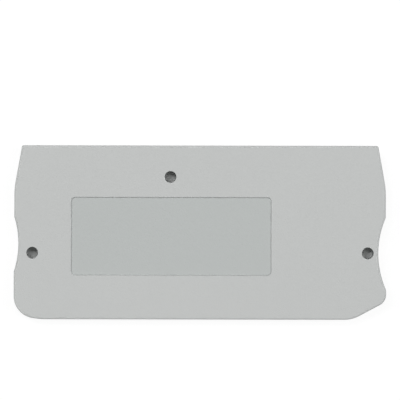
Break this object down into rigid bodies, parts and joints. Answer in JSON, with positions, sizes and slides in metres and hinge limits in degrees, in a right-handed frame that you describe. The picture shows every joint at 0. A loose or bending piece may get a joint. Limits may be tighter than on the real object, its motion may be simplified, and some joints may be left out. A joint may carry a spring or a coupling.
{
  "type": "terminal block end cover",
  "caption": "Thin moulded end cover for rail-mounted terminal blocks: flat plate with notched ends, recessed label field, blind sink holes and press-in pegs on a rimmed, ribbed inner face.",
  "frame": {"origin": "under the middle of the outline, at the level of the peg tips the cover lies on", "axes": "+X along the straight top edge, to the right seen from the front; +Y towards that edge; +Z out of the outer face"},
  "size_m": [0.0604, 0.0282, 0.0048],
  "materials": {
    "grey_plastic": "light grey polyamide, fine moulded grain, matte"
  },
  "bodies": {
    "root": {"end_cover": "grey_plastic"}
  },
  "joints": []
}
